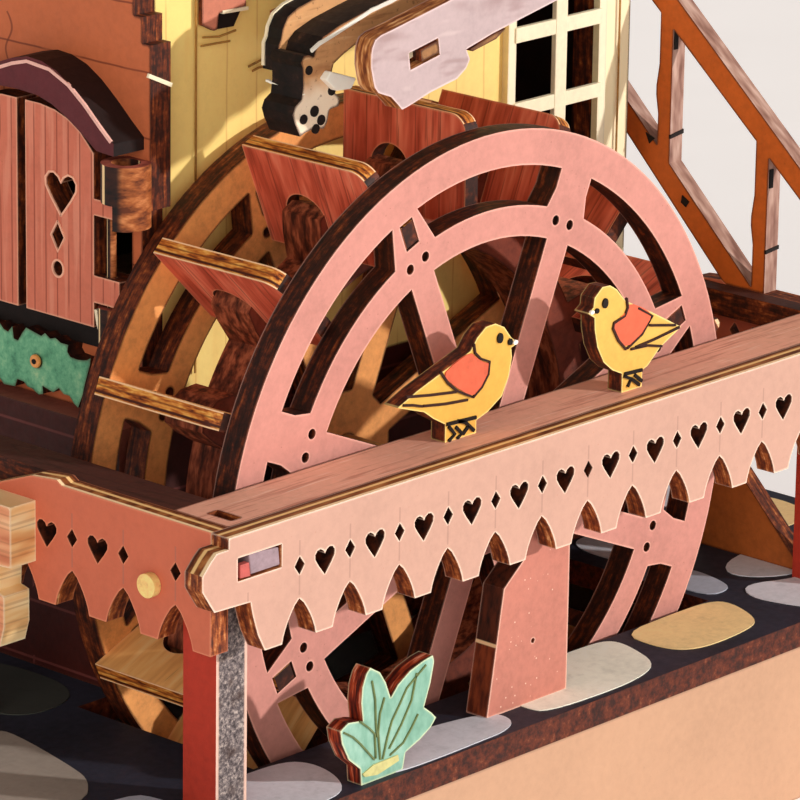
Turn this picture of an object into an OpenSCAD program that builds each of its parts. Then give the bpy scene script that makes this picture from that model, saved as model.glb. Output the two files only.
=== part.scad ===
// Laser-cut plywood model watermill: a bucket wheel turning in a scalloped
// timber frame, beside a small mill house with two hinged door leaves, all on a painted base box.
// Millimetres, +Z up. Origin: centre of the base's underside. The wheel's axle
// runs along Y, the scalloped front faces -Y and the door wall faces -X.

/* [Pattern and sheet] */
// pitch of the cut heart and diamond pattern, mm
pattern_pitch = 7.5; // [6:0.1:9]
// thickness of the main plywood sheet, mm
ply = 3.0; // [2:0.1:4]
// thickness of the thin plywood sheet of the aprons, mm
thin_ply = 2.5; // [1.5:0.1:3]
ornament_ply = 2.0; // [1.5:0.1:3]

/* [Wheel] */
// outer radius of the two rim sheets, mm
wheel_radius = 40.3; // [38:0.1:42]
// radial width of the outer ring, mm
outer_ring_width = 4.0; // [3:0.1:5]
// outer radius of the inner ring, mm
inner_ring_radius = 31.9; // [30:0.1:33]
// radial width of the inner ring, mm
inner_ring_width = 3.4; // [2.6:0.1:4]
// number of buckets round the wheel
paddle_count = 16; // [16:16:16]
// how far the buckets stand out past the rim sheets, mm
bucket_reach = 1.5; // [0.5:0.1:2.4]
// diameter of the axle rod, mm
axle_diameter = 4.0; // [3:0.1:5]
// radial clearance of the axle in its two bearings, mm
axle_clearance = 0.05; // [0.02:0.01:0.1]

/* [Base and house] */
// length of the base box along X, mm
base_length = 144; // [138:1:160]
// depth of the base box along Y, mm
base_depth = 81; // [76:1:90]
// height of the base box, mm
base_height = 21.75; // [21:0.25:24]
// height of the house's eaves above the base top, mm
eaves_height = 85.5; // [70:0.5:95]

/* [Hidden] */
// All shapes below are drawn in pattern units: one unit is pattern_pitch.
// Drawing origin: centre of the leftmost diamond on the front apron's face.
u = pattern_pitch;
T = ply / u;
A = thin_ply / u;
O = ornament_ply / u;
x_mid = 6.0;
x_lo = x_mid - base_length / 2 / u;
x_hi = x_mid + base_length / 2 / u;
y_lo = -0.2;
y_hi = y_lo + base_depth / u;
y_mid = (y_lo + y_hi) / 2;
z_top = -3.5;
z_bot = z_top - base_height / u;
R = wheel_radius / u;
Rb = R + bucket_reach / u;
Ri = R - outer_ring_width / u;
Ro = inner_ring_radius / u;
Rn = Ro - inner_ring_width / u;
wx = 5.62;
wz = -0.64;
wy = 1.6;                 // front face of the front rim
wyb = 4.4;                // front face of the rear rim
ar = axle_diameter / 2 / u;
ac = axle_clearance / u;
top_z = 0.71;             // top of the rails
deck_z = top_z - T;
hx0 = 1.85;               // outer face of the door wall
hx1 = 12.73;
hy0 = 5.05;               // face of the window wall
hyc = 7.0;               // middle of the house
hyd = 6.945;             // middle of the double door
hy1 = 2 * hyc - hy0;
plinth_z = 0.5;
eave = z_top + eaves_height / u;
pitch_slope = 1.2;

module place() translate([-x_mid * u, -y_mid * u, -z_bot * u]) scale(u) children();
// sheet in the XZ plane from y0 to y0 + t
module xz(y0, t) place() translate([0, y0 + t, 0]) rotate([90, 0, 0]) linear_extrude(height = t) children();
// sheet in the YZ plane from x0 to x0 + t
module yz(x0, t) place() translate([x0, 0, 0]) rotate([90, 0, 90]) linear_extrude(height = t) children();
// sheet in the XY plane from z0 to z0 + t
module xy(z0, t) place() translate([0, 0, z0]) linear_extrude(height = t) children();
module bar(x0, x1, y0, y1, z0, z1) place() translate([x0, y0, z0]) cube([x1 - x0, y1 - y0, z1 - z0]);
module rect(a0, a1, b0, b1) translate([a0, b0]) square([a1 - a0, b1 - b0]);

// ---- cut pattern of the aprons ----
module heart() polygon([[0, -0.22], [-0.13, -0.06], [-0.19, 0.03], [-0.195, 0.1], [-0.15, 0.155],
  [-0.09, 0.165], [-0.03, 0.13], [0, 0.08], [0.03, 0.13], [0.09, 0.165], [0.15, 0.155], [0.195, 0.1], [0.19, 0.03], [0.13, -0.06]]);
module diamond() polygon([[0, -0.135], [-0.1, 0], [0, 0.135], [0.1, 0]]);
module notch() polygon([[0, -0.47], [-0.09, -0.55], [-0.16, -0.65], [-0.215, -0.74], [-0.265, -0.84], [-0.305, -0.94],
  [-0.335, -1.06], [0.335, -1.06], [0.305, -0.94], [0.265, -0.84], [0.215, -0.74], [0.16, -0.65], [0.09, -0.55]]);

// ---- base box ----
module base_top() color([0.16, 0.17, 0.22]) xy(z_top - T, T) difference() {
  rect(x_lo, x_hi, y_lo, y_hi);
  rect(0.6, 10.64, 1.42, 4.95);
}
module base_front() color([0.9, 0.72, 0.58]) bar(x_lo + T, x_hi - T, y_lo, y_lo + T, z_bot, z_top - T);
module base_back() color([0.9, 0.72, 0.58]) bar(x_lo + T, x_hi - T, y_hi - T, y_hi, z_bot, z_top - T);
module base_sides() color([0.9, 0.72, 0.58]) {
  bar(x_lo, x_lo + T, y_lo, y_hi, z_bot, z_top - T);
  bar(x_hi - T, x_hi, y_lo, y_hi, z_bot, z_top - T);
}

// ---- frame round the wheel ----
module front_outline() {
  polygon([[13.373, 0.71], [-1.373, 0.71], [-1.373, 0.55], [-1.6, 0.55], [-1.71, 0.46], [-1.87, 0.29], [-1.87, 0.07],
    [-1.75, -0.11], [-1.64, -0.27], [-0.95, -0.29], [-0.9, -0.5], [-0.8, -0.8], [-0.665, -1.05], [12.665, -1.05],
    [12.8, -0.8], [12.9, -0.5], [12.95, -0.29], [13.64, -0.27], [13.75, -0.11], [13.87, 0.07], [13.87, 0.29],
    [13.71, 0.46], [13.6, 0.55], [13.373, 0.55]]);
}
module front_apron() color([0.94, 0.76, 0.69]) xz(0, A) difference() {
  front_outline();
  for (k = [0 : 12]) translate([k, 0]) { diamond(); notch(); }
  for (k = [0 : 11]) translate([k + 0.5, -0.03]) heart();
  rect(-1.2, -0.35, 0.06, 0.39);
  rect(12.35, 13.2, 0.06, 0.39);
}
// side aprons, drawn in (y, z); the rear end steps down past the house's front
module side_apron_shape(peg, rear) difference() {
  polygon([[A, 0.71], [3.2, 0.71], [3.3, 0.77], [3.8, 0.72], [4.4, 0.5], [4.9, 0.31], [rear, 0.31], [rear, -0.3], [rear - 0.1, -0.6], [rear - 0.33, -1.05],
    [0.335, -1.05], [A, -1.0]]);
  for (k = [1 : rear > 6 ? 5 : 4]) translate([k, 0]) { diamond(); notch(); }
  for (k = peg ? [2 : 4] : [1 : 3]) translate([k + 0.5, -0.03]) heart();
  if (peg) translate([1.44, -0.28]) circle(r = 0.13, $fn = 24);
}
module left_apron() color([0.78, 0.43, 0.32]) yz(-1.373, A) side_apron_shape(true, 6.33);
module right_apron() color([0.78, 0.43, 0.32]) yz(13.373 - A, A) side_apron_shape(false, 5.0);
module apron_peg() color([0.85, 0.65, 0.35]) place() translate([-1.5, 1.44, -0.28]) rotate([0, 90, 0]) {
  cylinder(r = 0.125, h = 0.6, $fn = 24);
  cylinder(r = 0.17, h = 0.12, $fn = 24);
}
module front_rail() color([0.75, 0.5, 0.47]) xy(deck_z, T) difference() {
  rect(-1.04, 13.04, A, 1.37);
  rect(-0.82, -0.62, 0.5, 0.95);
  rect(12.62, 12.82, 0.5, 0.95);
}
module side_rails() color([0.3, 0.2, 0.18]) {
  bar(-1.04, -0.37, 1.37, 6.2, deck_z, top_z);
  bar(12.7, 13.04, 1.37, 5.05, deck_z, top_z);
}
module post(x0, y0) bar(x0, x0 + 0.6, y0, y0 + 0.63, z_top, deck_z);
module posts_front() color([0.72, 0.22, 0.16]) { post(-1.02, 0.57); post(12.42, 0.57); }
module posts_back() color([0.72, 0.22, 0.16]) { post(-1.02, 5.55); post(12.42, 4.4); }
module corner_shape() polygon([[3.72, 0.38], [3.72, -0.5], [4.0, -0.52],
  [4.02, -0.9], [3.86, -0.94], [3.86, -1.4], [3.95, -1.7], [5.2, -1.25], [5.4, 0], [5.1, 0.2], [4.6, 0.38]]);
module corner_blocks() color([0.82, 0.66, 0.45]) {
  yz(-1.85, 1.85 - 1.373) corner_shape();
  yz(13.373, 1.85 - 1.373) corner_shape();
}

// ---- wheel ----
module sector_window(r0, r1, w0, w1) difference() {
  // space between two spokes, from radius r0 to r1, with w0 and w1 spoke half widths
  polygon([[r0 * cos(6), r0 * sin(6)], [r1 * 1.2, 0], [r1 * 1.2 * cos(45), r1 * 1.2 * sin(45)], [r0 * cos(39), r0 * sin(39)]]);
  circle(r = r0, $fn = 96);
  difference() { circle(r = r1 + 3, $fn = 96); circle(r = r1, $fn = 96); }
  rotate(0) translate([0, -1]) square([r1 + 2, 1 + w0]);
  rotate(45) translate([0, -w1]) square([r1 + 2, 1 + w1]);
}
module rim_shape() difference() {
  circle(r = R, $fn = 128);
  for (k = [0 : 7]) rotate(22.5 + 45 * k) {
    sector_window(Ro, Ri, k % 2 == 0 ? 0.17 : 0.36, k % 2 == 0 ? 0.36 : 0.17);
    sector_window(0.95, Rn, 0.25, 0.25);
  }
  // tenon slots of every second spoke and the small dots at the spoke joints
  for (k = [0 : 3]) rotate(112.5 + 90 * k) {
    translate([4.36, -0.14]) square([0.42, 0.28]);
    for (s = [-1, 1]) translate([4.08, 0.17 * s]) circle(r = 0.075, $fn = 16);
  }
  for (k = [0 : 3]) rotate(67.5 + 90 * k) for (s = [-1, 1]) translate([4.08, 0.17 * s]) circle(r = 0.075, $fn = 16);
  circle(r = ar, $fn = 48);
}
module rim_front() color([0.84, 0.55, 0.51]) xz(wy, T) translate([wx, wz]) rim_shape();
module rim_back() color([0.75, 0.47, 0.25]) xz(wyb, T) translate([wx, wz]) rim_shape();
module on_wheel(a) place() translate([wx, 0, wz]) rotate([0, -a, 0]) children();
// one bucket board, drawn in (radius, y), with its front outer corner rounded and an arched notch for the catch ring
module paddle_shape() difference() {
  union() {
    rect(Rn + 0.12, Rb - 0.3, wy + T, wyb);
    rect(Rb - 0.34, Rb, wy + T + 0.3, wyb);
    translate([Rb - 0.3, wy + T + 0.3]) circle(r = 0.3, $fn = 32);
  }
  rect(Rn, 4.54, 3.1, 3.85);
  translate([4.54, 3.475]) circle(r = 0.375, $fn = 32);
}
module paddles() color([0.76, 0.37, 0.33]) for (k = [0 : paddle_count - 1]) on_wheel(22.5 * k) {
  translate([0, 0, -O / 2]) linear_extrude(height = O) paddle_shape();
  if (k % 4 == 1) translate([0, 0, -0.12]) linear_extrude(height = 0.24) rect(4.4, 4.74, wy, wy + T);
}
// toothed ring that sits in the notches of the bucket boards
module catch_shape() {
  difference() { circle(r = Rn + 0.15, $fn = 96); circle(r = Rn - 0.4, $fn = 96); }
  for (k = [0 : paddle_count - 1]) rotate(22.5 * k)
    polygon([[Rn - 0.1, -0.36], [Rn + 0.4, -0.4], [4.48, -0.26], [4.68, 0.02], [4.62, 0.24], [4.32, 0.34], [Rn - 0.1, 0.44]]);
}
module catch_ring() color([0.25, 0.12, 0.08]) xz(3.1, 0.75) translate([wx, wz]) catch_shape();
module axle() color([0.85, 0.7, 0.5]) place() translate([wx, 0.43, wz]) rotate([-90, 0, 0]) cylinder(r = ar, h = hy0 + T - 0.43, $fn = 48);

// ---- axle support in front of the wheel ----
module axle_support() color([0.82, 0.47, 0.42]) xz(0.42, T) difference() {
  polygon([[4.38, z_top], [6.13, z_top], [6.13, 0.2], [5.12, 0.2], [5.12, -1.26], [4.92, -1.42], [4.7, -1.6]]);
  translate([wx, wz]) circle(r = ar + ac, $fn = 48);
  translate([5.36, -2.55]) circle(r = 0.04, $fn = 12);
}

// ---- birds and plant, small profiled boards ----
module bird_left() color([0.95, 0.79, 0.35]) xz(0.8, O) polygon([[5.32, 1.86], [5.17, 1.98], [5.02, 2.16], [4.83, 2.25], [4.63, 2.24],
  [4.45, 2.12], [4.31, 1.95], [3.7, 1.76], [3.2, 1.6], [2.8, 1.44], [3.35, 1.26], [3.55, 1.12], [3.8, 0.98], [3.8, 0.71],
  [4.46, 0.71], [4.46, 0.9], [4.7, 0.97], [5.0, 1.14], [5.14, 1.4], [5.2, 1.68], [5.18, 1.82]]);
module bird_right() color([0.95, 0.79, 0.35]) xz(0.6, O) polygon([[6.62, 2.07], [6.74, 2.14], [6.76, 2.28], [6.93, 2.41], [7.1, 2.4],
  [7.25, 2.31], [7.45, 2.1], [8.07, 1.8], [8.75, 1.44], [8.27, 1.22], [8.0, 1.0], [7.88, 0.96], [7.88, 0.71], [7.42, 0.71], [7.42, 1.0],
  [7.2, 1.1], [7.0, 1.26], [6.85, 1.52], [6.78, 1.8], [6.77, 1.98]]);
module leaf_shape() polygon([[1.2, z_top], [1.18, -3.25], [0.94, -3.05], [0.8, -2.78], [0.76, -2.58], [0.92, -2.5], [1.12, -2.53],
  [1.22, -2.56], [1.18, -2.28], [1.2, -2.05], [1.27, -1.88], [1.35, -1.8], [1.55, -1.92], [1.67, -2.1], [1.78, -2.36],
  [1.93, -2.2], [2.17, -2.06], [2.45, -1.98], [2.64, -1.95], [2.67, -2.05], [2.6, -2.35], [2.47, -2.68], [2.63, -2.8], [2.73, -2.9],
  [2.62, -3.02], [2.4, -3.14], [2.1, -3.25], [2.05, z_top]]);
module leaf() color([0.62, 0.82, 0.68]) xz(-0.08, O) leaf_shape();

// ---- plinth and house ----
module plinth_front() color([0.4, 0.17, 0.17]) xz(hy0, T) difference() {
  rect(hx0 + T, hx1, z_top, plinth_z);
  translate([wx, wz]) circle(r = ar + ac, $fn = 48);
}
module plinth_left() color([0.4, 0.17, 0.17]) bar(1.4, hx0 + T, 4.9, 2 * hyc - 4.9, z_top, plinth_z);
module plinth_right() color([0.4, 0.17, 0.17]) bar(hx1 - T, hx1, hy0 + T, hy1 - T, z_top, plinth_z);
module plinth_back() color([0.4, 0.17, 0.17]) bar(hx0 + T, hx1, hy1 - T, hy1, z_top, plinth_z);
module house_floor() color([0.5, 0.35, 0.25]) bar(hx0 + T, hx1 - T, hy0 + T, hy1 - T, 1.3, 1.7);
gable_top = eave + pitch_slope * (hyc - hy0);
gable_side = eave + pitch_slope * (5.06 - hy0);
module gable_wall() polygon([[4.88, plinth_z], [4.88, 3.7], [4.72, 3.7], [4.72, 6.1], [4.89, 6.1], [4.89, 6.48], [5.06, 6.48],
  [5.06, gable_side], [hyc, gable_top], [2 * hyc - 5.06, gable_side],
  [2 * hyc - 5.06, 6.48], [2 * hyc - 4.89, 6.48], [2 * hyc - 4.89, 6.1], [2 * hyc - 4.72, 6.1], [2 * hyc - 4.72, 3.7],
  [2 * hyc - 4.88, 3.7], [2 * hyc - 4.88, plinth_z]]);
// arched doorway with a recess beside each leaf's hinge
module doorway() {
  polygon([[hyd - 1.35, 1.95], [hyd - 1.35, 4.3], [hyd - 1.0, 4.7], [hyd - 0.5, 4.9], [hyd, 4.95],
    [hyd + 0.5, 4.9], [hyd + 1.0, 4.7], [hyd + 1.35, 4.3], [hyd + 1.35, 1.95]]);
  rect(5.09, 2 * hyd - 5.09, 2.2, 3.9);
}
module wall_left() color([0.72, 0.36, 0.3]) yz(hx0, T) difference() { gable_wall(); doorway(); }
module wall_right() color([0.72, 0.36, 0.3]) yz(hx1 - T, T) polygon([[hy0 + T, plinth_z], [hy0 + T, eave + pitch_slope * T],
  [hyc, gable_top], [hy1 - T, eave + pitch_slope * T], [hy1 - T, plinth_z]]);
module window_hole() rect(9.9, 11.85, 2.5, 6.3);
module wall_front() color([0.93, 0.84, 0.6]) xz(hy0, T) difference() {
  rect(hx0 + T, hx1, plinth_z, eave);
  window_hole();
}
module wall_back() color([0.93, 0.84, 0.6]) xz(hy1 - T, T) rect(hx0 + T, hx1, plinth_z, eave);
module roof_shape() polygon([[hy0 - 0.5, eave - 0.5 * pitch_slope], [hyc, eave + pitch_slope * (hyc - hy0)],
  [hyc, eave + pitch_slope * (hyc - hy0) + 0.62], [hy0 - 0.5, eave - 0.5 * pitch_slope + 0.62]]);
module roof_front() color([0.45, 0.22, 0.2]) yz(hx0 - 0.45, hx1 - hx0 + 0.9) roof_shape();
module roof_back() color([0.45, 0.22, 0.2]) yz(hx0 - 0.45, hx1 - hx0 + 0.9) translate([2 * hyc, 0]) mirror([1, 0]) roof_shape();

// ---- door, hinges and hood on the door wall ----
px = 1.57;                // hinge pins
py = 5.22;
pr = 0.07;
by = 4.93;                // middle of the round block over the upper tab
// one leaf, drawn in (y, z)
module leaf_outline() difference() {
  polygon([[5.46, 1.92], [hyd - 0.085, 1.92], [hyd - 0.085, 5.02], [6.55, 5.02], [6.25, 4.98], [6.0, 4.9], [5.75, 4.76], [5.6, 4.62], [5.46, 4.48]]);
  translate([6.12, 3.8]) scale(1.55) heart();
  translate([6.19, 3.13]) scale(1.5) diamond();
  translate([6.19, 2.65]) circle(r = 0.11, $fn = 16);
}
// hinge tab of a leaf: round about the pin, so that it turns inside the recess
module tab(z0, z1) intersection() {
  bar(1.45, 1.84, 4.8, 5.5, z0, z1);
  union() {
    bar(1.4, 1.9, py, 5.6, z0 - 0.1, z1 + 0.1);
    place() translate([px, py, z0 - 0.1]) cylinder(r = 0.3, h = z1 - z0 + 0.2, $fn = 48);
  }
}
module door_leaf() difference() {
  union() {
    yz(1.45, 0.39) leaf_outline();
    tab(3.58, 3.82);
    tab(2.29, 2.69);
  }
  place() translate([px, py, 2]) cylinder(r = pr + ac, h = 2, $fn = 32);
}
module mirror_door() translate([0, 2 * (hyd - y_mid) * u, 0]) mirror([0, 1, 0]) children();
module door_leaf_right() color([0.8, 0.46, 0.38]) door_leaf();
module door_leaf_left() color([0.8, 0.46, 0.38]) mirror_door() door_leaf();
// round blocks on the wall that hold a pin above and below the tabs
module hinge() {
  difference() {
    place() translate([px, by, 3.86]) cylinder(r = 0.36, h = 0.57, $fn = 48);
    place() translate([px, by, 4.2]) cylinder(r = 0.21, h = 0.5, $fn = 48);
    bar(hx0, hx0 + 0.5, 4, 6, 3.8, 4.5);
  }
  intersection() {
    place() translate([px, by, 3.5]) cylinder(r = 0.36, h = 0.4, $fn = 48);
    bar(1, hx0, 4.4, 4.85, 3.4, 4);
  }
  difference() {
    place() translate([px, py, 1.72]) cylinder(r = 0.2, h = 0.53, $fn = 48);
    bar(1.7, 2, 5, 5.5, 1.6, 1.9);
  }
  bar(px - 0.1, hx0, py - 0.1, py + 0.1, 1.74, 2.1);
  place() translate([px, py, 2.2]) cylinder(r = pr, h = 1.75, $fn = 32);
}
module door_hinges() color([0.55, 0.3, 0.15]) { hinge(); mirror_door() hinge(); }
module door_hood() color([0.35, 0.13, 0.15]) yz(1.25, hx0 - 1.25) polygon([[4.85, 4.58], [4.85, 4.76], [5.1, 4.96], [5.4, 5.22],
  [5.7, 5.45], [6.0, 5.62], [6.3, 5.71], [6.6, 5.73], [6.9, 5.66], [7.2, 5.55], [7.6, 5.42], [8.0, 5.24], [8.4, 5.0], [8.9, 4.76], [8.9, 4.6],
  [8.69, 4.6], [8.36, 4.8], [8.06, 5.0], [7.76, 5.13], [7.4, 5.2], [6.8, 5.22], [6.4, 5.2], [6.1, 5.12], [5.8, 4.98], [5.5, 4.8], [5.2, 4.6]]);
module grass_board() color([0.35, 0.6, 0.45]) yz(1.55, 0.3) difference() {
  polygon([[5.9, 0.6], [5.8, 0.82], [5.76, 0.98], [5.7, 1.15], [5.65, 1.3], [5.64, 1.4], [5.72, 1.35], [5.9, 1.32], [6.06, 1.33], [6.12, 1.4], [6.1, 1.5],
    [6.25, 1.5], [6.36, 1.55], [6.48, 1.52], [6.58, 1.58], [6.66, 1.52], [6.82, 1.55], [6.98, 1.58], [7.06, 1.48], [7.15, 1.35], [7.24, 1.36], [7.27, 1.54], [7.36, 1.44],
    [7.45, 1.46], [7.54, 1.54], [7.7, 1.42], [7.82, 1.55], [8.0, 1.42], [8.15, 1.5], [8.3, 1.3], [8.45, 1.1], [8.4, 0.8], [8.25, 0.66], [8.1, 0.76], [7.9, 0.62], [7.7, 0.74],
    [7.53, 0.68], [7.45, 0.62], [7.22, 0.64], [7.17, 0.76], [7.03, 0.75], [6.96, 0.69], [6.86, 0.68], [6.72, 0.62], [6.63, 0.65], [6.64, 0.77], [6.56, 0.75], [6.42, 0.72],
    [6.3, 0.81], [6.2, 0.74], [6.08, 0.74], [5.98, 0.64]]);
  translate([6.75, 1.12]) circle(r = 0.1, $fn = 16);
}
module window_frame() color([0.97, 0.93, 0.8]) xz(hy0 - 0.12, 0.12) difference() {
  rect(9.72, 12.03, 2.3, 6.5);
  window_hole();
}

// ---- water chute over the wheel ----
module chute_front() color([0.72, 0.66, 0.72]) xz(1.9, 0.32) difference() {
  polygon([[3.56, 6.45], [3.44, 6.4], [3.38, 6.3], [3.36, 6.2], [3.36, 6.02], [3.4, 5.85], [3.44, 5.72], [3.52, 5.63], [3.78, 5.53], [3.92, 5.4], [4.01, 5.31], [4.12, 5.33],
    [4.6, 5.46], [5.15, 5.56], [5.34, 5.68], [5.42, 5.8], [5.34, 5.96], [5.9, 6.1], [8.6, 6.62], [8.6, 7.43], [4.56, 6.64], [3.74, 6.48]]);
  polygon([[4.13, 6.1], [4.17, 5.85], [4.78, 5.97], [4.74, 6.22]]);
}
module chute_back() color([0.3, 0.18, 0.12]) {
  xz(3.0, 0.6) polygon([[3.36, 5.98], [3.41, 6.12], [3.55, 6.24], [3.9, 6.36], [4.45, 6.48], [8.6, 7.3], [8.6, 6.78], [4.9, 6.16], [4.52, 6.1], [4.2, 6.02],
    [3.98, 5.93], [3.77, 5.82], [3.7, 5.62], [3.72, 5.45], [3.82, 5.38], [3.9, 5.3], [3.88, 5.19], [3.69, 5.17], [3.65, 5.0], [3.58, 4.91], [3.38, 4.95], [3.2, 4.92], [3.1, 4.88],
    [2.99, 5.08], [2.94, 5.22], [2.99, 5.33], [3.12, 5.41], [3.15, 5.6], [3.14, 5.86], [3.1, 5.94], [3.16, 6.03], [3.26, 6.03]]);
  xz(3.55, 0.3) polygon([[3.22, 5.7], [3.22, 6.08], [3.27, 6.16], [3.3, 6.3], [3.4, 6.46], [3.6, 6.56], [3.9, 6.63], [8.6, 7.56], [8.6, 7.0], [4.5, 6.2],
    [4.0, 6.05], [3.7, 5.9], [3.55, 5.7]]);
}
module chute_floor() color([0.6, 0.4, 0.22]) {
  xz(1.9 + 0.32, 3.0 - 1.9 - 0.32) polygon([[4.3, 5.98], [4.76, 5.98], [8.6, 6.84], [8.6, 7.02], [4.3, 6.14]]);
  xz(1.86, 0.46) polygon([[4.36, 5.95], [4.72, 6.02], [4.68, 6.19], [4.33, 6.11]]);
  xz(1.92, 0.4) polygon([[5.45, 5.94], [5.5, 5.9], [6.0, 6.0], [6.2, 6.12], [5.95, 6.08]]);
  xz(3.9, hy0 - 3.9) polygon([[4.6, 5.72], [8.6, 6.5], [8.6, 6.9], [4.6, 6.12]]);
}

// ---- sloped railing and bracket on the right ----
module rail_post(y, z0, z1, zb) polygon([[y - 0.14, z0], [y + 0.12, z0], [y + 0.12, zb - 0.3], [y + 0.17, zb], [y + 0.17, zb + 0.15], [y + 0.12, zb + 0.5],
  [y + 0.12, z1], [y - 0.14, z1]]);
module stair_railing() color([0.75, 0.4, 0.15]) yz(13.05, 0.3) difference() {
  union() {
    polygon([[0.42, 1.13], [6.7, 6.56], [6.7, 7.17], [0.42, 1.58]]);
    polygon([[2.65, 0.71], [3.25, 0.71], [6.7, 4.16], [6.7, 4.64]]);
    polygon([[0.46, 0.71], [0.72, 0.71], [0.72, 0.85], [0.77, 1.1], [0.77, 1.25], [0.72, 1.5], [0.46, 1.4]]);
    rail_post(2.59, 0.71, 3.22, 1.75);
    rail_post(4.57, 2.3, 4.95, 3.5);
    rect(6.1, 6.7, z_top, 6.4);
  }
  rect(6.4, 7, -4, 8);
}
module right_bracket() color([0.7, 0.42, 0.2]) yz(13.04 - 0.36, 0.3) difference() {
  polygon([[1.35, z_top], [1.35, -3.3], [3.75, -0.9], [4.38, -0.5], [4.38, z_top]]);
  translate([4.75, -2.9]) circle(r = 1.5, $fn = 64);
}

base_top();
base_front();
base_back();
base_sides();
front_apron();
left_apron();
right_apron();
front_rail();
side_rails();
posts_front();
posts_back();
apron_peg();
corner_blocks();
axle_support();
rim_front();
rim_back();
paddles();
catch_ring();
axle();
bird_left();
bird_right();
leaf();
plinth_front();
plinth_left();
plinth_back();
plinth_right();
house_floor();
wall_left();
wall_front();
wall_back();
wall_right();
roof_front();
roof_back();
door_leaf_right();
door_leaf_left();
door_hood();
door_hinges();
grass_board();
window_frame();
chute_front();
chute_back();
chute_floor();
stair_railing();
right_bracket();
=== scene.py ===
import bpy, bmesh, math, random
from mathutils import Matrix, Vector


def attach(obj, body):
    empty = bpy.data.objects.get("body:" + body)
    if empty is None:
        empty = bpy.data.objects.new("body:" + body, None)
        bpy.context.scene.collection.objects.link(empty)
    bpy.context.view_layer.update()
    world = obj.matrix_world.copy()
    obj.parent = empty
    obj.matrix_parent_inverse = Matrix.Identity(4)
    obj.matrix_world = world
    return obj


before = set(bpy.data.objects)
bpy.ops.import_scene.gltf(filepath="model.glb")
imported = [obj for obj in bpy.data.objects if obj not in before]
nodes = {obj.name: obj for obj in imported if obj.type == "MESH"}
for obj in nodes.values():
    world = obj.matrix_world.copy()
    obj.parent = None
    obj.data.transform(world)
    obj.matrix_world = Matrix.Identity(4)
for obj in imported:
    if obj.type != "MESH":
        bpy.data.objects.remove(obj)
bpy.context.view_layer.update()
U = 0.0075          # metres in one pattern unit


def P(x, y, z):
    return Vector(((x - 6.0) * U, (y - 5.2) * U, (z + 6.4) * U))


# ------------------------------------------------------------------ camera
cam = bpy.data.cameras.new("camera")
cam_o = bpy.data.objects.new("camera", cam)
bpy.context.scene.collection.objects.link(cam_o)
right = Vector((0.675966, -0.736793, 0.014361))
up = Vector((0.207033, 0.208571, 0.955843))
back = Vector((-0.707253, -0.643144, 0.293527))
cam_o.matrix_world = Matrix.Translation((-0.402845, -0.377813, 0.216981)) @ Matrix((right, up, back)).transposed().to_4x4()
cam.sensor_fit = "HORIZONTAL"
cam.sensor_width = 36.0
cam.lens = 231.1
cam.clip_start = 0.01
cam.clip_end = 20.0
bpy.context.scene.camera = cam_o


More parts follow.
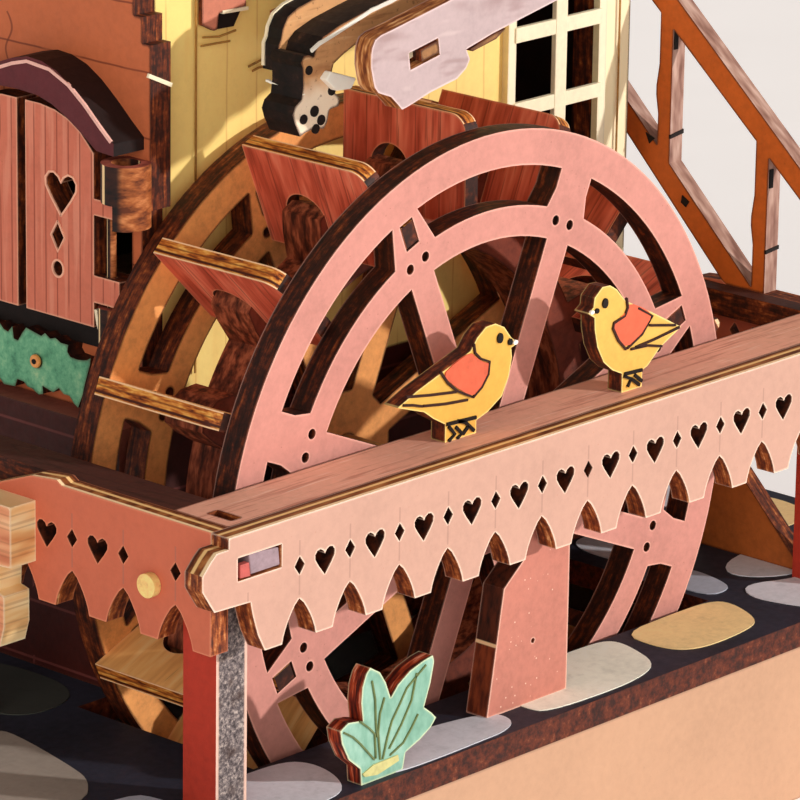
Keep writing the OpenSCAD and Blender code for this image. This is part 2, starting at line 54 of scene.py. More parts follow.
# ------------------------------------------------------------------ shader building
class Mat:
    """A small builder for node materials. Positions are in pattern units: x right, y back, z up."""

    def __init__(self, name, rough=0.6, spec=0.3):
        self.m = bpy.data.materials.new(name)
        self.m.use_nodes = True
        self.t = self.m.node_tree
        self.t.nodes.clear()
        self.out = self.n("ShaderNodeOutputMaterial")
        self.b = self.n("ShaderNodeBsdfPrincipled")
        self.t.links.new(self.b.outputs[0], self.out.inputs[0])
        self.b.inputs["Roughness"].default_value = rough
        self.b.inputs["Specular IOR Level"].default_value = spec
        tc = self.n("ShaderNodeTexCoord")
        mad = self.n("ShaderNodeVectorMath", operation="MULTIPLY_ADD")
        self.t.links.new(tc.outputs["Object"], mad.inputs[0])
        mad.inputs[1].default_value = (1 / U, 1 / U, 1 / U)
        mad.inputs[2].default_value = (6.0, 5.2, -6.4)
        self.pos = mad.outputs[0]
        s = self.n("ShaderNodeSeparateXYZ")
        self.t.links.new(self.pos, s.inputs[0])
        self.x, self.y, self.z = s.outputs
        s = self.n("ShaderNodeSeparateXYZ")
        self.t.links.new(tc.outputs["Normal"], s.inputs[0])
        self.nx, self.ny, self.nz = s.outputs

    def n(self, kind, **props):
        node = self.t.nodes.new(kind)
        for k, v in props.items():
            setattr(node, k, v)
        return node

    def put(self, socket, v):
        if isinstance(v, (int, float)):
            socket.default_value = v
        elif isinstance(v, (tuple, list)):
            socket.default_value = tuple(v) + ((1.0,) if len(v) == 3 and len(socket.default_value) == 4 else ())
        else:
            self.t.links.new(v, socket)

    def math(self, op, a, b=0.0, c=0.0, clamp=False):
        node = self.n("ShaderNodeMath", operation=op, use_clamp=clamp)
        for s, v in zip(node.inputs, (a, b, c)):
            self.put(s, v)
        return node.outputs[0]

    def vec(self, x, y, z):
        node = self.n("ShaderNodeCombineXYZ")
        for s, v in zip(node.inputs, (x, y, z)):
            self.put(s, v)
        return node.outputs[0]

    def scaled(self, sx, sy, sz, ox=0.0, oy=0.0, oz=0.0):
        node = self.n("ShaderNodeVectorMath", operation="MULTIPLY_ADD")
        self.t.links.new(self.pos, node.inputs[0])
        node.inputs[1].default_value = (sx, sy, sz)
        node.inputs[2].default_value = (ox, oy, oz)
        return node.outputs[0]

    def mix(self, fac, a, b, blend="MIX"):
        node = self.n("ShaderNodeMix", data_type="RGBA", blend_type=blend, clamp_factor=True)
        self.put(node.inputs[0], fac)
        self.put(node.inputs[6], a)
        self.put(node.inputs[7], b)
        return node.outputs[2]

    def noise(self, sx, sy, sz, detail=3.0, rough=0.55, seed=0.0, distort=0.0):
        node = self.n("ShaderNodeTexNoise")
        self.t.links.new(self.scaled(sx, sy, sz, seed * 7.3, seed * 3.1, seed * 5.7), node.inputs["Vector"])
        node.inputs["Scale"].default_value = 1.0
        node.inputs["Detail"].default_value = detail
        node.inputs["Roughness"].default_value = rough
        node.inputs["Distortion"].default_value = distort
        return node.outputs[0]

    def voronoi(self, sx, sy, sz, feature="F1", seed=0.0, rand=1.0):
        node = self.n("ShaderNodeTexVoronoi", feature=feature)
        self.t.links.new(self.scaled(sx, sy, sz, seed * 7.3, seed * 3.1, seed * 5.7), node.inputs["Vector"])
        node.inputs["Scale"].default_value = 1.0
        node.inputs["Randomness"].default_value = rand
        return node.outputs

    def step(self, v, lo, hi):
        node = self.n("ShaderNodeMapRange", interpolation_type="SMOOTHSTEP", clamp=True)
        self.put(node.inputs[0], v)
        node.inputs[1].default_value = lo
        node.inputs[2].default_value = hi
        node.inputs[3].default_value = 0.0
        node.inputs[4].default_value = 1.0
        return node.outputs[0]

    def ramp(self, v, *stops):
        node = self.n("ShaderNodeValToRGB")
        self.put(node.inputs[0], v)
        el = node.color_ramp.elements
        while len(el) < len(stops):
            el.new(0.5)
        for e, (p, c) in zip(el, stops):
            e.position = p
            e.color = tuple(c) + (1.0,)
        return node.outputs[0]

    def gt(self, a, b):
        return self.math("GREATER_THAN", a, b)

    def line(self, coord, pitch, half, phase=0.0):
        """1 on thin lines every pitch along coord, soft over half its width."""
        f = self.math("FRACT", self.math("ADD", self.math("DIVIDE", coord, pitch), 0.5 - phase / pitch))
        d = self.math("MULTIPLY", self.math("ABSOLUTE", self.math("SUBTRACT", f, 0.5)), pitch)
        return self.math("SUBTRACT", 1.0, self.step(d, half * 0.5, half * 1.5))

    def near(self, coord, at, half, soft=0.4):
        d = self.math("ABSOLUTE", self.math("SUBTRACT", coord, at))
        return self.math("SUBTRACT", 1.0, self.step(d, half * (1 - soft), half * (1 + soft)))

    def between(self, coord, a, b):
        return self.math("MULTIPLY", self.gt(coord, a), self.gt(b, coord))

    def mul(self, *vs):
        r = vs[0]
        for v in vs[1:]:
            r = self.math("MULTIPLY", r, v)
        return r

    def most(self, *vs):
        r = vs[0]
        for v in vs[1:]:
            r = self.math("MAXIMUM", r, v)
        return r

    def rim(self, dist=0.05):
        """1 at the outer corners of the solid, 0 away from them; dist in pattern units."""
        node = self.n("ShaderNodeAmbientOcclusion", inside=True, only_local=True, samples=8)
        node.inputs["Distance"].default_value = dist * U
        return self.math("SUBTRACT", 1.0, node.outputs["AO"])

    def bump(self, height, strength=0.3, dist=0.02):
        node = self.n("ShaderNodeBump")
        node.inputs["Strength"].default_value = strength
        node.inputs["Distance"].default_value = dist * U
        self.put(node.inputs["Height"], height)
        self.t.links.new(node.outputs[0], self.b.inputs["Normal"])

    def colour(self, v):
        self.put(self.b.inputs["Base Color"], v)


def srgb(r, g, b):
    f = lambda c: (c / 255 / 12.92) if c / 255 <= 0.04045 else ((c / 255 + 0.055) / 1.055) ** 2.4
    return (f(r), f(g), f(b))


def cut_edge(M, axis, char=0.6, seed=0.0):
    """The laser-cut edge of a ply sheet whose faces look along axis: burnt plies with lighter flecks."""
    k = {"x": (16, 2.2, 2.2), "y": (2.2, 16, 2.2), "z": (2.2, 2.2, 16), "n": (4, 4, 4)}[axis]
    plies = M.noise(*k, detail=2.5, rough=0.6, seed=seed + 1)
    fine = M.noise(9, 9, 9, detail=3, rough=0.7, seed=seed + 2)
    v = M.math("ADD", M.math("MULTIPLY", plies, 0.6), M.math("MULTIPLY", fine, 0.4))
    v = M.math("ADD", v, (0.6 - char) * 0.5)
    return M.ramp(v, (0.3, srgb(24, 8, 5)), (0.45, srgb(58, 22, 11)), (0.57, srgb(112, 48, 20)), (0.68, srgb(176, 96, 46)), (0.78, srgb(236, 184, 126)))


def ply(name, axis, face, back=None, char=0.6, burn=0.85, edge=None, rough=0.6, rim=0.06, seed=0.0, halo=None, calm=None):
    """A ply sheet: printed or painted faces along axis, burnt cut edges, and a scorched line along the corners.
    face and back are functions of the builder that give a colour; back is for the + side."""
    M = Mat(name, rough)
    n = {"x": M.nx, "y": M.ny, "z": M.nz}[axis]
    flat = M.gt(M.math("ABSOLUTE", n), 0.8)
    col = face(M)
    if back is not None:
        col = M.mix(M.gt(n, 0.5), col, back(M))
    edge_c = edge(M) if edge else cut_edge(M, axis, char, seed)
    scorch = M.step(M.math("ADD", M.rim(rim), M.math("MULTIPLY", M.math("SUBTRACT", M.noise(3, 3, 3, 3, 0.6, seed + 5), 0.5), 0.25)), 0.1, 0.42)
    if calm:
        scorch = M.mul(scorch, calm(M))
    if halo:
        edge_c = M.mix(M.math("MULTIPLY", M.step(M.rim(rim * 0.8), 0.12, 0.4), 0.35), edge_c, srgb(*halo))
        col = M.mix(M.math("MULTIPLY", scorch, 0.75), col, srgb(*halo))
    else:
        col = M.mix(M.math("MULTIPLY", scorch, burn), col, srgb(70, 30, 18))
    col = M.mix(flat, edge_c, col)
    M.colour(col)
    grain = M.noise(6, 6, 6, 4, 0.65, seed + 3)
    M.bump(grain, 0.25, 0.02)
    r = M.math("ADD", M.math("MULTIPLY", grain, 0.3), rough - 0.15)
    M.put(M.b.inputs["Roughness"], r)
    return M


def paint(base, vary=0.12, flecks=0.0, seed=0.0, stretch=(1, 1, 1), dark=None):
    """A painted face: base colour (sRGB) with slow and fine variation and small flecks."""
    c = srgb(*base)

    def fn(M):
        slow = M.noise(0.5 * stretch[0], 0.5 * stretch[1], 0.5 * stretch[2], 2, 0.5, seed + 11)
        fine = M.noise(7 * stretch[0], 7 * stretch[1], 7 * stretch[2], 4, 0.7, seed + 12)
        v = M.math("ADD", M.math("MULTIPLY", slow, 0.5), M.math("MULTIPLY", fine, 0.5))
        d = tuple(x * (1 - vary * 2.2) for x in c)
        l = tuple(min(1.0, x * (1 + vary * 1.6)) for x in c)
        col = M.ramp(v, (0.3, d), (0.5, c), (0.7, l))
        if flecks:
            f = M.voronoi(9, 9, 9, "F1", seed + 4)[0]
            fm = M.mul(M.math("SUBTRACT", 1.0, M.step(f, 0.06, 0.14)), M.gt(M.noise(4, 4, 4, 1, 0.5, seed + 9), 0.56), flecks)
            col = M.mix(fm, col, dark or srgb(90, 40, 25))
        return col

    return fn


def grained(base, line_col, along="x", seed=0.0, strength=0.6, freq=2.6, vary=0.1, width=0.018):
    """Paint with printed wood-grain contours running along an axis."""
    f0 = paint(base, vary, 0.0, seed)
    k = {"x": (0.28, freq, freq), "y": (freq, 0.28, freq), "z": (freq, freq, 0.28)}[along]

    def fn(M):
        col = f0(M)
        g = M.noise(*k, detail=1.5, rough=0.4, seed=seed + 21, distort=0.3)
        band = M.math("FRACT", M.math("MULTIPLY", g, 7.0))
        m = M.math("SUBTRACT", 1.0, M.step(M.math("ABSOLUTE", M.math("SUBTRACT", band, 0.5)), width * 2, width * 6))
        return M.mix(M.math("MULTIPLY", m, strength), col, srgb(*line_col))

    return fn


def streaked(base, dark, light, along="x", seed=0.0, dens=7.0):
    """Paint over a fine printed grain: many short dark and light hairs along an axis."""
    f0 = paint(base, 0.07, 0.0, seed)
    k = {"x": (0.5, dens, dens), "y": (dens, 0.5, dens), "z": (dens, dens, 0.5)}[along]
    k2 = {"x": (0.9, dens * 2.2, dens * 2.2), "y": (dens * 2.2, 0.9, dens * 2.2), "z": (dens * 2.2, dens * 2.2, 0.9)}[along]

    def fn(M):
        col = f0(M)
        a = M.noise(*k, detail=2.5, rough=0.6, seed=seed + 51)
        b = M.noise(*k2, detail=2.0, rough=0.6, seed=seed + 52)
        col = M.mix(M.math("MULTIPLY", M.step(a, 0.56, 0.7), 0.55), col, srgb(*dark))
        col = M.mix(M.math("MULTIPLY", M.step(b, 0.6, 0.72), 0.5), col, srgb(*light))
        return M.mix(M.math("MULTIPLY", M.math("SUBTRACT", 1.0, M.step(b, 0.3, 0.42)), 0.45), col, srgb(*dark))

    return fn


def dress(node_name, M):
    o = nodes[node_name]
    o.data.materials.clear()
    o.data.materials.append(M.m if isinstance(M, Mat) else M)
    for poly in o.data.polygons:
        poly.material_index = 0


# ------------------------------------------------------------------ geometry helpers
TO = {
    "xz": lambda a, b, d: P(a, d, b),
    "yz": lambda a, b, d: P(d, a, b),
    "xy": lambda a, b, d: P(a, b, d),
}


def add_prism(bm, pts, plane, d0, d1):
    """A closed plate of outline pts (pattern units, in plane) from d0 to d1 along the third axis."""
    f = TO[plane]
    a = [bm.verts.new(f(p[0], p[1], d0)) for p in pts]
    b = [bm.verts.new(f(p[0], p[1], d1)) for p in pts]
    bm.faces.new(a)
    bm.faces.new(list(reversed(b)))
    n = len(pts)
    for i in range(n):
        bm.faces.new((a[i], b[i], b[(i + 1) % n], a[(i + 1) % n]))


def finish_mesh(bm, name, mat, body, smooth=False, bevel=0.0):
    bmesh.ops.recalc_face_normals(bm, faces=bm.faces)
    me = bpy.data.meshes.new(name)
    bm.to_mesh(me)
    bm.free()
    o = bpy.data.objects.new(name, me)
    bpy.context.scene.collection.objects.link(o)
    me.materials.append(mat.m if isinstance(mat, Mat) else mat)
    if smooth:
        for p in me.polygons:
            p.use_smooth = True
    if bevel:
        b = o.modifiers.new("bevel", "BEVEL")
        b.width = bevel * U
        b.segments = 2
        b.limit_method = "ANGLE"
    if body:
        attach(o, body)
    return o


def plates(name, outlines, plane, d0, d1, mat, body="mill", bevel=0.0):
    bm = bmesh.new()
    for pts in outlines:
        add_prism(bm, pts, plane, d0, d1)
    return finish_mesh(bm, name, mat, body, bevel=bevel)


def lines(name, polylines, plane, d0, d1, width, mat, body="mill"):
    """Thin raised or printed lines: each polyline is one closed bar of that width."""
    bm = bmesh.new()
    for pl in polylines:
        pts = [Vector(p[:2]) for p in pl]
        n = len(pts)
        left, rightp = [], []
        for i, p in enumerate(pts):
            t = (pts[min(i + 1, n - 1)] - pts[max(i - 1, 0)])
            if t.length < 1e-9:
                continue
            t.normalize()
            nn = Vector((-t.y, t.x))
            w = width / 2
            left.append(p + nn * w)
            rightp.append(p - nn * w)
        add_prism(bm, left + rightp[::-1], plane, d0, d1)
    return finish_mesh(bm, name, mat, body)


def blob(cx, cy, rx, ry, n=28, power=2.6, turn=0.0, wob=0.0, rng=None):
    """A rounded, slightly irregular outline."""
    pts = []
    ph = [rng.uniform(0, 6.28) for _ in range(3)] if rng else (0, 0, 0)
    for i in range(n):
        a = 2 * math.pi * i / n
        c, s = math.cos(a), math.sin(a)
        r = (abs(c) ** power + abs(s) ** power) ** (-1 / power)
        r *= 1 + wob * (math.sin(2 * a + ph[0]) + 0.6 * math.sin(3 * a + ph[1]))
        x, y = rx * r * c, ry * r * s
        pts.append((cx + x * math.cos(turn) - y * math.sin(turn), cy + x * math.sin(turn) + y * math.cos(turn)))
    return pts


def simple(name, base, rough=0.6, vary=0.15, seed=0.0, spec=0.3):
    M = Mat(name, rough, spec)
    M.colour(paint(base, vary, 0.0, seed)(M))
    M.bump(M.noise(8, 8, 8, 3, 0.6, seed), 0.2, 0.02)
    return M


ink = simple("ink_line", (52, 22, 14), 0.7, 0.3)

# ------------------------------------------------------------------ materials on the CAD nodes
# aprons
def apron_face(base, cx, seed):
    f0 = paint(base, 0.05, 0.25, seed, dark=srgb(190, 120, 95))

    def fn(M):
        col = f0(M)
        c = {"x": M.x, "y": M.y}[cx]
        ph = 0.0
        l = M.line(c, 1.0, 0.014, ph)
        up_ = M.mul(l, M.between(M.z, 0.15, 0.36))
        dn = M.mul(l, M.between(M.z, -0.42, -0.14))
        return M.mix(M.math("MULTIPLY", M.most(up_, dn), 0.4), col, srgb(150, 110, 100))

    return fn


def apron_edge(along, thick, a, b):
    """Cut edge of an apron: painted near black inside the hearts and diamonds as painted shade over the burnt edge,
    pale and brown plies along the top.
    """
    def fn(M):
        side = cut_edge(M, {"x": "y", "y": "x"}[along], 0.4, 1)
        c, t = {"x": (M.x, M.y), "y": (M.y, M.x)}[along]
        # Painted shade: the cut edges inside the hearts and diamonds are darkened.
        col = M.mix(M.mul(M.between(c, a, b), M.between(M.z, -0.27, 0.2)), side, M.ramp(M.noise(6, 6, 6, 3, 0.6, 2), (0.4, srgb(34, 12, 8)), (0.65, srgb(92, 40, 20))))
        warm = M.ramp(M.noise(1.5, 6, 6, 3, 0.6, 3), (0.34, srgb(92, 40, 14)), (0.5, srgb(140, 76, 34)), (0.68, srgb(184, 118, 64)))
        warm = M.mix(M.near(t, thick[0], 0.03), warm, srgb(255, 222, 176))
        warm = M.mix(M.near(t, thick[1], 0.03), warm, srgb(246, 200, 134))
        warm = M.mix(M.near(t, thick[2], 0.025), warm, srgb(84, 36, 16))
        return M.mix(M.mul(M.gt(M.nz, 0.6), M.gt(M.z, 0.25)), col, warm)
    return fn


dress("front_apron", ply("apron_pink", "y", apron_face((202, 158, 141), "x", 1), char=0.42, seed=1, halo=(255, 226, 204), rim=0.045, edge=apron_edge("x", (0.03, 0.2, 0.3), -0.3, 12.3),
    calm=lambda M: M.math("SUBTRACT", 1.0, M.mul(M.between(M.x, 5.9, 6.1), M.between(M.z, -0.42, 0.64)))))
dress("left_apron", ply("apron_red", "x", apron_face((206, 108, 80), "y", 2), char=0.28, seed=2, halo=(226, 140, 106), rim=0.045, edge=apron_edge("y", (-1.34, -1.17, -1.07), 0.6, 5.4)))
dress("right_apron", ply("apron_red_right", "x", apron_face((206, 108, 80), "y", 3), char=0.45, seed=3, halo=(226, 140, 106), rim=0.045))
dress("front_rail", ply("rail_rose", "z", streaked((232, 168, 144), (172, 96, 78), (255, 222, 200), "x", 4), char=0.4, seed=4))
# The side rails are painted dark brown as painted shade.
dress("side_rails", ply("rail_dark", "z", grained((70, 36, 30), (36, 16, 12), "y", 5, 0.5), char=0.6, seed=5))


def post_mat(name, seed):
    M = Mat(name, 0.6)
    red = paint((178, 52, 34), 0.12, 0.15, seed)(M)
    sp = M.noise(16, 16, 16, 3, 0.75, seed + 1)
    speck = M.ramp(sp, (0.36, srgb(58, 50, 52)), (0.47, srgb(100, 90, 92)), (0.56, srgb(134, 122, 120)), (0.68, srgb(192, 176, 168)))
    speck = M.mix(M.step(M.noise(2.2, 2.2, 2.2, 2, 0.5, seed + 2), 0.52, 0.7), speck, srgb(60, 40, 36))
    fx = M.math("FRACT", M.math("ADD", M.x, 30.02))
    side = M.most(M.near(M.x, -1.02, 0.05), M.near(M.x, -0.42, 0.05), M.near(M.x, 12.42, 0.05), M.near(M.x, 13.02, 0.05))
    speck = M.mix(M.math("MULTIPLY", side, 0.85), speck, srgb(238, 196, 178))
    col = M.mix(M.gt(M.math("ABSOLUTE", M.nx), 0.8), speck, red)
    M.colour(col)
    M.bump(sp, 0.3, 0.02)
    return M


dress("posts_front", post_mat("post_red", 6))
dress("posts_back", post_mat("post_red_back", 7))
dress("apron_peg", simple("peg_wood", (250, 206, 130), 0.45, 0.35, 8))
def stack_mat():
    """A block glued from flat sheets: thin dark joints at every sheet; painted light and shade: cream on the lit front
    and top faces, pink on the faces looking along x.
    """
    M = Mat("stacked_sheets", 0.6)
    a = M.noise(0.8, 0.8, 4.5, 2, 0.5, 9)
    lit = M.ramp(a, (0.32, srgb(222, 156, 96)), (0.48, srgb(246, 204, 142)), (0.66, srgb(255, 232, 182)))
    pink = M.ramp(a, (0.32, srgb(200, 116, 80)), (0.48, srgb(228, 154, 112)), (0.66, srgb(244, 190, 146)))
    # Painted light and shade: cream on the lit faces, pink on the faces looking along x.
    col = M.mix(M.gt(M.math("ABSOLUTE", M.nx), 0.8), lit, pink)
    joint = M.most(M.line(M.z, 0.2, 0.012, 0.05), M.mul(M.line(M.z, 0.4, 0.02, 0.12), 1.0))
    col = M.mix(M.math("MULTIPLY", joint, 0.3), col, srgb(150, 96, 66))
    col = M.mix(M.math("MULTIPLY", M.step(M.rim(0.05), 0.12, 0.42), 0.5), col, srgb(255, 240, 204))
    M.colour(col)
    M.bump(a, 0.3, 0.02)
    return M


dress("corner_blocks", stack_mat())
# On the support's cut edge, the part above z -2.44 is painted dark as a painted shadow and the part below a lit brown,
# with a cream painted highlight line at z -2.44.
dress("axle_support", ply("support_pink", "y", paint((192, 121, 105), 0.1, 0.9, 10, dark=srgb(250, 214, 196)), edge=lambda M: M.mix(M.near(M.z, -2.44, 0.025), M.mix(M.gt(M.z, -2.44),
    M.ramp(M.noise(9, 9, 2, 3, 0.6, 10), (0.36, srgb(78, 28, 12)), (0.6, srgb(128, 56, 26))), M.ramp(M.noise(9, 9, 2, 3, 0.6, 10), (0.36, srgb(34, 14, 8)), (0.6, srgb(84, 36, 18)))),
    srgb(236, 196, 150)), seed=10, halo=(244, 196, 176), rim=0.05))

# wheel
pinkish = paint((206, 141, 130), 0.09, 0.45, 12, dark=srgb(150, 80, 70))
barewood = paint((232, 158, 92), 0.18, 0.0, 13)
dress("rim_front", ply("rim_pink", "y", pinkish, back=barewood, char=0.72, seed=12, halo=(246, 184, 166), rim=0.05))
dress("rim_back", ply("rim_bare", "y", barewood, back=pinkish, char=0.6, seed=13))
dress("catch_ring", ply("catch_dark", "y", paint((120, 56, 40), 0.3, 0.3, 14), edge=lambda M: M.ramp(M.noise(8, 8, 2, 3, 0.6, 14), (0.34, srgb(56, 22, 12)), (0.48, srgb(116, 54, 34)), (0.62, srgb(170, 92, 62))), seed=14))
dress("axle", simple("axle_wood", (196, 150, 98), 0.5, 0.15, 15))


def bucket_mat():
    """Bucket boards: printed red grain on the side that leads, bare ply on the other, burnt plies on the outer edge."""
    M = Mat("bucket", 0.6)
    wx, wz = 5.62, -0.64
    rx = M.math("SUBTRACT", M.x, wx)
    rz = M.math("SUBTRACT", M.z, wz)
    rr = M.math("SQRT", M.math("ADD", M.mul(rx, rx), M.mul(rz, rz)))
    ang = M.math("ARCTAN2", rz, rx)
    turns = M.math("DIVIDE", ang, math.radians(22.5))
    num = M.math("ROUND", turns)
    off = M.math("MULTIPLY", M.math("MULTIPLY", M.math("SUBTRACT", turns, num), math.radians(22.5)), rr)
    # tangential part of the normal, positive on the side turned anticlockwise
    t = M.math("DIVIDE", M.math("SUBTRACT", M.mul(M.nz, rx), M.mul(M.nx, rz)), rr)
    rad = M.math("DIVIDE", M.math("ADD", M.mul(M.nx, rx), M.mul(M.nz, rz)), rr)

    def hairs(fr, fy, seed, detail=2.5):
        node = M.n("ShaderNodeTexNoise")
        M.put(node.inputs["Vector"], M.vec(M.math("MULTIPLY", rr, fr), M.math("MULTIPLY", M.y, fy), M.math("MULTIPLY", num, 3.7 + seed)))
        node.inputs["Scale"].default_value = 1.0
        node.inputs["Detail"].default_value = detail
        node.inputs["Roughness"].default_value = 0.6
        return node.outputs[0]

    a, b = hairs(0.7, 5.0, 1.0), hairs(0.9, 16.0, 2.0)
    red = M.ramp(a, (0.3, srgb(170, 68, 48)), (0.45, srgb(204, 90, 66)), (0.56, srgb(222, 108, 82)), (0.72, srgb(238, 138, 108)))
    red = M.mix(M.math("MULTIPLY", M.step(b, 0.56, 0.66), 0.5), red, srgb(128, 46, 34))
    board = M.line(M.y, 0.48, 0.012, 0.1)
    red = M.mix(M.math("MULTIPLY", board, 0.5), red, srgb(100, 36, 26))
    bare = M.ramp(a, (0.3, srgb(226, 158, 92)), (0.5, srgb(250, 190, 116)), (0.7, srgb(255, 214, 148)))
    bare = M.mix(M.math("MULTIPLY", M.step(b, 0.6, 0.72), 0.4), bare, srgb(168, 112, 66))
    ends = M.noise(14, 3, 14, 2.5, 0.65, 18)
    edge = M.ramp(ends, (0.32, srgb(92, 36, 12)), (0.44, srgb(176, 92, 32)), (0.55, srgb(216, 136, 56)), (0.68, srgb(244, 186, 96)))
    edge = M.mix(M.most(M.near(off, 0.075, 0.02), M.mul(M.near(off, -0.02, 0.012), 0.6)), edge, srgb(74, 26, 10))
    edge = M.mix(M.gt(M.math("ABSOLUTE", off), 0.112), edge, srgb(250, 206, 160))
    col = M.mix(M.gt(t, 0.0), bare, red)
    scorch = M.step(M.rim(0.05), 0.12, 0.42)
    col = M.mix(M.math("MULTIPLY", scorch, 0.5), col, srgb(236, 172, 130))
    side = cut_edge(M, "n", 0.7, 19)
    other = M.mix(M.gt(rad, 0.6), side, edge)
    col = M.mix(M.gt(M.math("ABSOLUTE", t), 0.8), other, col)
    M.colour(col)
    M.bump(M.noise(6, 6, 6, 4, 0.65, 19), 0.3, 0.02)
    return M


dress("paddles", bucket_mat())

# ornaments
def leaf_paint(M):
    """Watercolour greens, darker along streaks that rise from the foot."""
    v = M.math("ADD", M.math("MULTIPLY", M.noise(2.4, 2.4, 1.0, 3, 0.6, 22), 0.6), M.math("MULTIPLY", M.noise(7, 7, 4, 3, 0.6, 23), 0.4))
    return M.ramp(v, (0.32, srgb(104, 154, 134)), (0.46, srgb(128, 176, 156)), (0.58, srgb(148, 192, 174)), (0.72, srgb(176, 206, 192)))


dress("bird_left", ply("bird_yellow", "y", paint((230, 176, 78), 0.07, 0.1, 20), char=0.62, seed=20, halo=(255, 232, 150), rim=0.04))
dress("bird_right", ply("bird_yellow_right", "y", paint((236, 186, 90), 0.07, 0.1, 21), char=0.62, seed=21, halo=(255, 236, 160), rim=0.04))
dress("leaf", ply("leaf_mint", "y", leaf_paint, edge=lambda M: M.ramp(M.noise(2, 14, 2, 2.5, 0.6, 22),
    (0.36, srgb(60, 14, 6)), (0.48, srgb(120, 34, 12)), (0.58, srgb(176, 70, 34)), (0.72, srgb(236, 170, 140))), seed=22, halo=(224, 232, 190), rim=0.05))

# base
dress("base_top", ply("ground_dark", "z", paint((38, 40, 54), 0.3, 0.0, 23), edge=lambda M: M.ramp(M.noise(9, 9, 9, 3, 0.7, 23),
    (0.36, srgb(44, 12, 4)), (0.5, srgb(78, 28, 10)), (0.64, srgb(104, 44, 20)), (0.78, srgb(150, 92, 62))), burn=0.3, seed=23))
for i, nd in enumerate(("base_front", "base_back", "base_sides")):
    dress(nd, ply("base_peach_%d" % i, "x" if nd == "base_sides" else "y", paint((194, 152, 123), 0.05, 0.1, 24 + i), char=0.5, burn=0.3, seed=24 + i))


# house
def boards(base, along, pitch, seed, line=(120, 60, 40), strength=0.6, vary=0.08, other=None, w=0.014):
    f0 = paint(base, vary, 0.0, seed, stretch=(1, 1, 1))

    def fn(M):
        col = f0(M)
        c = {"x": M.x, "y": M.y, "z": M.z}[along]
        wob = M.math("MULTIPLY", M.math("SUBTRACT", M.noise(1.2, 1.2, 1.2, 2, 0.5, seed + 2), 0.5), 0.05)
        l = M.line(M.math("ADD", c, wob), pitch, w)
        gap = M.step(M.noise(0.9, 0.9, 0.9, 2, 0.6, seed + 6), 0.38, 0.5)
        col = M.mix(M.mul(l, gap, strength), col, srgb(*line))
        return col

    return fn


def wall_red_face(M):
    col = boards((198, 106, 66), "z", 0.95, 27, (110, 46, 30), 0.75, 0.07)(M)
    cracks = M.line(M.math("ADD", M.y, M.math("MULTIPLY", M.noise(0.4, 0.4, 0.9, 1, 0.5, 28), 1.4)), 2.1, 0.014)
    seg = M.gt(M.noise(0.7, 0.7, 0.7, 1, 0.5, 29), 0.53)
    return M.mix(M.mul(cracks, seg, 0.7), col, srgb(110, 46, 30))


# The inner faces of the walls are painted near black, a painted shade inside the house.
def inside(M):
    return M.ramp(M.noise(1.5, 1.5, 1.5, 3, 0.6, 26), (0.35, srgb(18, 8, 6)), (0.55, srgb(36, 16, 10)), (0.75, srgb(58, 28, 16)))


def two_sides(name, axis, face, out_sign, seed, **kw):
    """Painted on the outer face; the inner, bare face is painted dark as painted shade."""
    def fn(M):
        n_ = {"x": M.nx, "y": M.ny}[axis]
        return M.mix(M.gt(M.math("MULTIPLY", n_, out_sign), 0.5), inside(M), face(M))
    return ply(name, axis, fn, back=fn, seed=seed, **kw)


dress("wall_left", two_sides("wall_red", "x", wall_red_face, -1.0, 27, char=0.62))
dress("wall_right", two_sides("wall_red_right", "x", wall_red_face, 1.0, 28, char=0.62))


def wall_yellow_face(M):
    col = boards((255, 222, 136), "x", 0.62, 30, (206, 142, 70), 0.4, 0.04)(M)
    vert = M.noise(2.2, 2.2, 0.35, 3, 0.6, 29)
    col = M.mix(M.math("MULTIPLY", M.step(vert, 0.52, 0.7), 0.3), col, srgb(246, 190, 104))
    # Painted light: right of x 11.85 the wall is painted pale cream, a lit patch.
    col = M.mix(M.step(M.x, 11.85, 12.0), col, srgb(255, 240, 200))
    return col


dress("wall_front", two_sides("wall_yellow", "y", wall_yellow_face, -1.0, 30, char=0.62))
dress("wall_back", two_sides("wall_yellow_back", "y", wall_yellow_face, 1.0, 31, char=0.62))


def plinth_face(M):
    col = paint((60, 12, 6), 0.25, 0.0, 32)(M)
    l = M.most(M.line(M.z, 0.9, 0.02, 0.2), M.mul(M.line(M.y, 1.6, 0.02, 0.3), M.gt(M.noise(0.8, 0.8, 0.8, 1, 0.5, 33), 0.5)),
               M.mul(M.line(M.x, 1.6, 0.02, 0.3), M.gt(M.noise(0.8, 0.8, 0.8, 1, 0.5, 33), 0.5)))
    return M.mix(M.mul(l, 0.6), col, srgb(120, 60, 56))


for nd, ax in (("plinth_left", "x"), ("plinth_right", "x"), ("plinth_front", "y"), ("plinth_back", "y")):
    dress(nd, ply("maroon_" + nd, ax, plinth_face, edge=lambda M: paint((140, 80, 66), 0.2, 0.0, 34)(M), seed=32))
dress("house_floor", ply("floor_ply", "z", grained((188, 140, 92), (130, 84, 50), "x", 35, 0.4), char=0.6, seed=35))


def shingles(M):
    col = paint((92, 44, 38), 0.25, 0.0, 36)(M)
    rows = M.line(M.z, 0.62, 0.025)
    odd = M.math("MULTIPLY", M.math("FLOOR", M.math("DIVIDE", M.z, 0.62)), 0.37)
    cols = M.line(M.math("ADD", M.x, odd), 0.74, 0.02)
    return M.mix(M.math("MULTIPLY", M.most(rows, cols), 0.8), col, srgb(34, 14, 12))


for nd in ("roof_front", "roof_back"):
    M = Mat("shingle_" + nd, 0.7)
    top = M.gt(M.math("ABSOLUTE", M.nx), 0.8)
    col = M.mix(top, shingles(M), cut_edge(M, "n", 0.65, 37))
    M.colour(col)
    M.bump(M.noise(6, 6, 6, 4, 0.6, 38), 0.4, 0.03)
    dress(nd, M)


